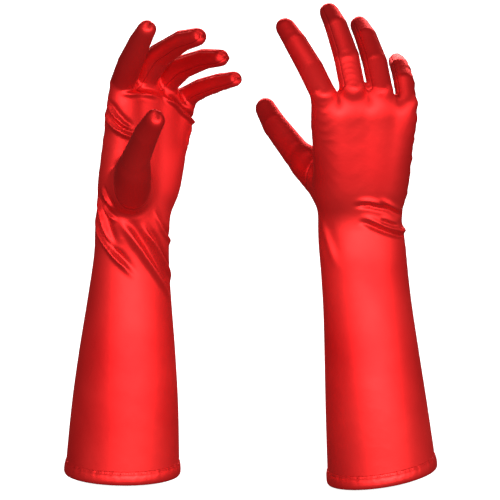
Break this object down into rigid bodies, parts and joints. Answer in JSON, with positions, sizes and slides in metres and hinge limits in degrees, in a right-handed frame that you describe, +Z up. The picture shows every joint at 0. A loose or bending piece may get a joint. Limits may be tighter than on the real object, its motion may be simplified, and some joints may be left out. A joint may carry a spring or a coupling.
{
  "type": "opera gloves",
  "caption": "Elbow-length red satin opera gloves posed as on raised arms: left palm open with curled fingers, right showing its back, each with a turned hem.",
  "frame": {"origin": "centre of the left glove's arm opening, in the plane of its hem", "axes": "+Z up the left arm to the hand, +X from the left glove to the right glove, +Y away from the viewer"},
  "size_m": [0.2735, 0.1654, 0.3605],
  "materials": {
    "satin": "glossy stretch satin",
    "hem_satin": "turned and stitched satin hem",
    "web_satin": "satin strip between the fingers"
  },
  "bodies": {
    "left_sleeve": {"left_hem": "hem_satin", "left_sleeve_back": "satin", "left_sleeve_palm": "satin"},
    "left_thumb_base": {"left_thumb_base": "satin"},
    "left_thumb_middle": {"left_thumb_middle": "satin"},
    "left_thumb_tip": {"left_thumb_tip": "satin"},
    "left_hand": {"left_hand_back": "satin", "left_hand_palm": "satin", "left_index_middle_web": "web_satin", "left_middle_ring_web": "web_satin", "left_ring_little_web": "web_satin"},
    "left_index_base": {"left_index_base": "satin"},
    "left_index_middle": {"left_index_middle": "satin"},
    "left_index_tip": {"left_index_tip": "satin"},
    "left_middle_base": {"left_middle_base": "satin"},
    "left_middle_middle": {"left_middle_middle": "satin"},
    "left_middle_tip": {"left_middle_tip": "satin"},
    "left_ring_base": {"left_ring_base": "satin"},
    "left_ring_middle": {"left_ring_middle": "satin"},
    "left_ring_tip": {"left_ring_tip": "satin"},
    "left_little_base": {"left_little_base": "satin"},
    "left_little_middle": {"left_little_middle": "satin"},
    "left_little_tip": {"left_little_tip": "satin"},
    "right_sleeve": {"right_hem": "hem_satin", "right_sleeve_back": "satin", "right_sleeve_palm": "satin"},
    "right_thumb_base": {"right_thumb_base": "satin"},
    "right_thumb_middle": {"right_thumb_middle": "satin"},
    "right_thumb_tip": {"right_thumb_tip": "satin"},
    "right_hand": {"right_hand_back": "satin", "right_hand_palm": "satin", "right_index_middle_web": "web_satin", "right_middle_ring_web": "web_satin", "right_ring_little_web": "web_satin"},
    "right_index_base": {"right_index_base": "satin"},
    "right_index_middle": {"right_index_middle": "satin"},
    "right_index_tip": {"right_index_tip": "satin"},
    "right_middle_base": {"right_middle_base": "satin"},
    "right_middle_middle": {"right_middle_middle": "satin"},
    "right_middle_tip": {"right_middle_tip": "satin"},
    "right_ring_base": {"right_ring_base": "satin"},
    "right_ring_middle": {"right_ring_middle": "satin"},
    "right_ring_tip": {"right_ring_tip": "satin"},
    "right_little_base": {"right_little_base": "satin"},
    "right_little_middle": {"right_little_middle": "satin"},
    "right_little_tip": {"right_little_tip": "satin"}
  },
  "joints": [
    {"name": "pair_spacing", "type": "slide", "parent": "left_sleeve", "child": "right_sleeve", "axis": [1, 0, 0], "range_m": [0, 0.3]},
    {"name": "left_wrist", "type": "hinge", "parent": "left_sleeve", "child": "left_hand", "pos_m": [0.00737, 0, 0.19186], "axis": [0.7217, 0.6741, -0.157], "range_deg": [-30, 30]},
    {"name": "left_thumb_root", "type": "hinge", "parent": "left_hand", "child": "left_thumb_base", "pos_m": [0.0047, -0.02072, 0.218], "axis": [-0.2348, 0.6714, 0.7029], "range_deg": [-12, 12]},
    {"name": "left_thumb_middle", "type": "hinge", "parent": "left_thumb_base", "child": "left_thumb_middle", "pos_m": [0.01008, -0.04993, 0.2477], "axis": [-0.2348, 0.6714, 0.7029], "range_deg": [-7, 33]},
    {"name": "left_thumb_tip", "type": "hinge", "parent": "left_thumb_middle", "child": "left_thumb_tip", "pos_m": [0.01791, -0.07102, 0.27046], "axis": [-0.2348, 0.6714, 0.7029], "range_deg": [-6.3, 29.7]},
    {"name": "left_index_root", "type": "hinge", "parent": "left_hand", "child": "left_index_base", "pos_m": [0.00028, -0.01441, 0.29737], "axis": [0.7217, 0.6741, -0.157], "range_deg": [-48, 27]},
    {"name": "left_index_middle", "type": "hinge", "parent": "left_index_base", "child": "left_index_middle", "pos_m": [0.00574, -0.02621, 0.31511], "axis": [0.7217, 0.6741, -0.157], "range_deg": [-6, 74]},
    {"name": "left_index_tip", "type": "hinge", "parent": "left_index_middle", "child": "left_index_tip", "pos_m": [0.01309, -0.0412, 0.33372], "axis": [0.7217, 0.6741, -0.157], "range_deg": [-3.6, 44.4]},
    {"name": "left_middle_root", "type": "hinge", "parent": "left_hand", "child": "left_middle_base", "pos_m": [0.01588, 0.00122, 0.29796], "axis": [0.7217, 0.6741, -0.157], "range_deg": [-49, 26]},
    {"name": "left_middle_middle", "type": "hinge", "parent": "left_middle_base", "child": "left_middle_middle", "pos_m": [0.02705, -0.00817, 0.31701], "axis": [0.7217, 0.6741, -0.157], "range_deg": [-22, 58]},
    {"name": "left_middle_tip", "type": "hinge", "parent": "left_middle_middle", "child": "left_middle_tip", "pos_m": [0.04403, -0.02517, 0.33138], "axis": [0.7217, 0.6741, -0.157], "range_deg": [-13.2, 34.8]},
    {"name": "left_ring_root", "type": "hinge", "parent": "left_hand", "child": "left_ring_base", "pos_m": [0.03147, 0.01465, 0.2916], "axis": [0.7217, 0.6741, -0.157], "range_deg": [-61, 14]},
    {"name": "left_ring_middle", "type": "hinge", "parent": "left_ring_base", "child": "left_ring_middle", "pos_m": [0.04378, 0.00338, 0.30594], "axis": [0.7217, 0.6741, -0.157], "range_deg": [-19, 61]},
    {"name": "left_ring_tip", "type": "hinge", "parent": "left_ring_middle", "child": "left_ring_tip", "pos_m": [0.06053, -0.01398, 0.31564], "axis": [0.7217, 0.6741, -0.157], "range_deg": [-11.4, 36.6]},
    {"name": "left_little_root", "type": "hinge", "parent": "left_hand", "child": "left_little_base", "pos_m": [0.04587, 0.02613, 0.27846], "axis": [0.7217, 0.6741, -0.157], "range_deg": [-71, 4]},
    {"name": "left_little_middle", "type": "hinge", "parent": "left_little_base", "child": "left_little_middle", "pos_m": [0.05766, 0.01721, 0.28685], "axis": [0.7217, 0.6741, -0.157], "range_deg": [-8, 72]},
    {"name": "left_little_tip", "type": "hinge", "parent": "left_little_middle", "child": "left_little_tip", "pos_m": [0.07139, 0.00613, 0.29389], "axis": [0.7217, 0.6741, -0.157], "range_deg": [-4.8, 43.2]},
    {"name": "right_wrist", "type": "hinge", "parent": "right_sleeve", "child": "right_hand", "pos_m": [0.17533, 0, 0.18993], "axis": [-0.9821, -0.1882, 0.0028], "range_deg": [-30, 30]},
    {"name": "right_thumb_root", "type": "hinge", "parent": "right_hand", "child": "right_thumb_base", "pos_m": [0.1543, 0.00389, 0.21566], "axis": [-0.1899, 0.4909, -0.8503], "range_deg": [-12, 12]},
    {"name": "right_thumb_middle", "type": "hinge", "parent": "right_thumb_base", "child": "right_thumb_middle", "pos_m": [0.12815, 0.02949, 0.23628], "axis": [-0.1899, 0.4909, -0.8503], "range_deg": [-9, 31]},
    {"name": "right_thumb_tip", "type": "hinge", "parent": "right_thumb_middle", "child": "right_thumb_tip", "pos_m": [0.11228, 0.05187, 0.25275], "axis": [-0.1899, 0.4909, -0.8503], "range_deg": [-8.1, 27.9]},
    {"name": "right_index_root", "type": "hinge", "parent": "right_hand", "child": "right_index_base", "pos_m": [0.14801, -0.02274, 0.29055], "axis": [-0.9821, -0.1882, 0.0028], "range_deg": [-57, 18]},
    {"name": "right_index_middle", "type": "hinge", "parent": "right_index_base", "child": "right_index_middle", "pos_m": [0.13876, -0.01324, 0.3081], "axis": [-0.9821, -0.1882, 0.0028], "range_deg": [-12, 68]},
    {"name": "right_index_tip", "type": "hinge", "parent": "right_index_middle", "child": "right_index_tip", "pos_m": [0.12751, 0.00137, 0.325], "axis": [-0.9821, -0.1882, 0.0028], "range_deg": [-7.2, 40.8]},
    {"name": "right_middle_root", "type": "hinge", "parent": "right_hand", "child": "right_middle_base", "pos_m": [0.16964, -0.02029, 0.29427], "axis": [-0.9821, -0.1882, 0.0028], "range_deg": [-42, 33]},
    {"name": "right_middle_middle", "type": "hinge", "parent": "right_middle_base", "child": "right_middle_middle", "pos_m": [0.16509, -0.01397, 0.31697], "axis": [-0.9821, -0.1882, 0.0028], "range_deg": [-28, 52]},
    {"name": "right_middle_tip", "type": "hinge", "parent": "right_middle_middle", "child": "right_middle_tip", "pos_m": [0.15761, 0.00467, 0.33648], "axis": [-0.9821, -0.1882, 0.0028], "range_deg": [-16.8, 31.2]},
    {"name": "right_ring_root", "type": "hinge", "parent": "right_hand", "child": "right_ring_base", "pos_m": [0.19027, -0.01482, 0.29142], "axis": [-0.9821, -0.1882, 0.0028], "range_deg": [-52, 23]},
    {"name": "right_ring_middle", "type": "hinge", "parent": "right_ring_base", "child": "right_ring_middle", "pos_m": [0.18618, -0.00539, 0.31087], "axis": [-0.9821, -0.1882, 0.0028], "range_deg": [-26, 54]},
    {"name": "right_ring_tip", "type": "hinge", "parent": "right_ring_middle", "child": "right_ring_tip", "pos_m": [0.17965, 0.01447, 0.32633], "axis": [-0.9821, -0.1882, 0.0028], "range_deg": [-15.6, 32.4]},
    {"name": "right_little_root", "type": "hinge", "parent": "right_hand", "child": "right_little_base", "pos_m": [0.2094, -0.00743, 0.28184], "axis": [-0.9821, -0.1882, 0.0028], "range_deg": [-65, 10]},
    {"name": "right_little_middle", "type": "hinge", "parent": "right_little_base", "child": "right_little_middle", "pos_m": [0.20765, 0.00343, 0.29481], "axis": [-0.9821, -0.1882, 0.0028], "range_deg": [-26, 54]},
    {"name": "right_little_tip", "type": "hinge", "parent": "right_little_middle", "child": "right_little_tip", "pos_m": [0.20473, 0.02058, 0.30244], "axis": [0.9821, 0.1882, -0.0028], "range_deg": [-15.6, 32.4]}
  ],
  "couplings": [
    {"joint": "left_thumb_tip", "follows": "left_thumb_middle", "ratio": 0.9},
    {"joint": "left_index_tip", "follows": "left_index_middle", "ratio": 0.6},
    {"joint": "left_middle_tip", "follows": "left_middle_middle", "ratio": 0.6},
    {"joint": "left_ring_tip", "follows": "left_ring_middle", "ratio": 0.6},
    {"joint": "left_little_tip", "follows": "left_little_middle", "ratio": 0.6},
    {"joint": "right_thumb_tip", "follows": "right_thumb_middle", "ratio": 0.9},
    {"joint": "right_index_tip", "follows": "right_index_middle", "ratio": 0.6},
    {"joint": "right_middle_tip", "follows": "right_middle_middle", "ratio": 0.6},
    {"joint": "right_ring_tip", "follows": "right_ring_middle", "ratio": 0.6},
    {"joint": "right_little_tip", "follows": "right_little_middle", "ratio": 0.6}
  ]
}
